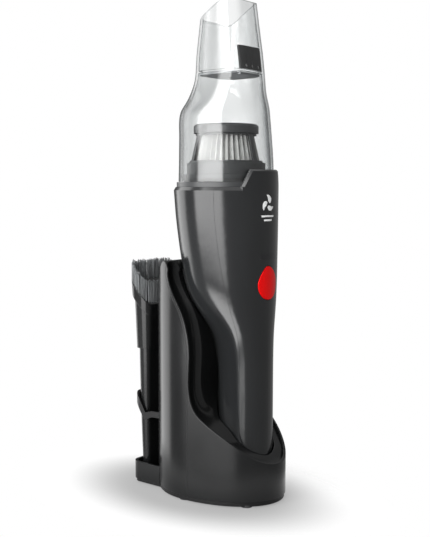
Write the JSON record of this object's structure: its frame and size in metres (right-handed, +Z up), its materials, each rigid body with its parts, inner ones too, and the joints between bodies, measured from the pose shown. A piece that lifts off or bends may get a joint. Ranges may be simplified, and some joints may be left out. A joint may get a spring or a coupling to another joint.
{
  "type": "handheld vacuum",
  "caption": "Cordless handheld vacuum with clear dust cup and cone filter, standing in an upright charging dock that also holds a combined crevice and dusting brush tool.",
  "frame": {"origin": "on the floor under the middle of the overall footprint", "axes": "+Z up, -Y towards the front with the power button, +X towards the side with the charging socket"},
  "size_m": [0.096, 0.152, 0.4376],
  "materials": {
    "dock_satin": "fine satin black plastic",
    "dock_matte": "matte black plastic",
    "housing_gloss": "smooth black plastic with a soft gloss",
    "inner_plastic": "dark moulded plastic",
    "clear_plastic": "clear polished plastic",
    "red_button": "glossy red plastic",
    "lens": "dark smoked plastic",
    "rubber": "soft black rubber",
    "filter_paper": "pleated off-white filter paper",
    "filter_plastic": "charcoal plastic",
    "bristle": "grey nylon bristles",
    "steel": "zinc-plated steel",
    "brass": "brass contacts",
    "metal_can": "drawn metal can",
    "cell_wrap": "shrink-wrapped cells",
    "board": "green circuit board",
    "white_pin": "white plastic pins"
  },
  "bodies": {
    "dock": {"dock_front_shell": "dock_satin", "dock_back_shell": "dock_satin", "dock_base_plate": "dock_matte", "dock_feet": "rubber", "dock_screws": "steel", "tool_pocket": "dock_satin", "tool_clip": "dock_matte", "charging_jack": "dock_matte", "jack_pin": "brass", "dock_contact_block": "inner_plastic", "dock_contacts": "brass", "dock_board": "board"},
    "vacuum": {"housing_front": "housing_gloss", "housing_rear": "housing_gloss", "housing_screws": "steel", "top_collar": "filter_plastic", "motor_can": "metal_can", "fan_shroud": "inner_plastic", "motor_mount": "rubber", "battery_cells": "cell_wrap", "battery_holder": "inner_plastic", "control_board": "board", "switch_body": "inner_plastic", "indicator_lens": "lens", "exhaust_grille": "dock_matte", "handle_contacts": "inner_plastic"},
    "fan": {"impeller": "inner_plastic", "motor_shaft": "steel"},
    "button": {"power_button": "red_button", "switch_plunger": "inner_plastic"},
    "cup": {"cup_shell": "clear_plastic", "flap_bracket": "rubber", "flap_pins": "white_pin"},
    "flap": {"inlet_flap": "rubber"},
    "filter": {"filter_base": "filter_plastic", "filter_cage": "filter_plastic", "filter_media": "filter_paper", "filter_cap": "filter_plastic", "filter_seal": "rubber"},
    "tool": {"crevice_tool": "dock_satin"},
    "brush": {"brush_collar": "dock_satin", "bristles": "bristle"}
  },
  "joints": [
    {"name": "vacuum_lift", "type": "slide", "parent": "dock", "child": "vacuum", "axis": [0, 0, 1], "range_m": [0, 0.2]},
    {"name": "fan_spin", "type": "hinge", "parent": "vacuum", "child": "fan", "pos_m": [0, -0.017, 0.25], "axis": [0, 0, 1], "continuous": true},
    {"name": "button_press", "type": "slide", "parent": "vacuum", "child": "button", "axis": [0, 1, 0], "range_m": [0, 0.0012], "stiffness_N_per_m": 600, "springref_m": -0.0008},
    {"name": "cup_lift", "type": "slide", "parent": "vacuum", "child": "cup", "axis": [0, 0, 1], "range_m": [0, 0.15]},
    {"name": "flap_open", "type": "hinge", "parent": "cup", "child": "flap", "pos_m": [0, -0.0418, 0.3742], "axis": [-1, 0, 0], "range_deg": [0, 50], "stiffness_Nm_per_rad": 0.004, "springref_deg": -20.05},
    {"name": "filter_lift", "type": "slide", "parent": "vacuum", "child": "filter", "axis": [0, 0, 1], "range_m": [0, 0.015]},
    {"name": "tool_lift", "type": "slide", "parent": "dock", "child": "tool", "axis": [0, 0, 1], "range_m": [0, 0.12]},
    {"name": "brush_slide", "type": "slide", "parent": "tool", "child": "brush", "axis": [0, 0, -1], "range_m": [0, 0.03]}
  ]
}
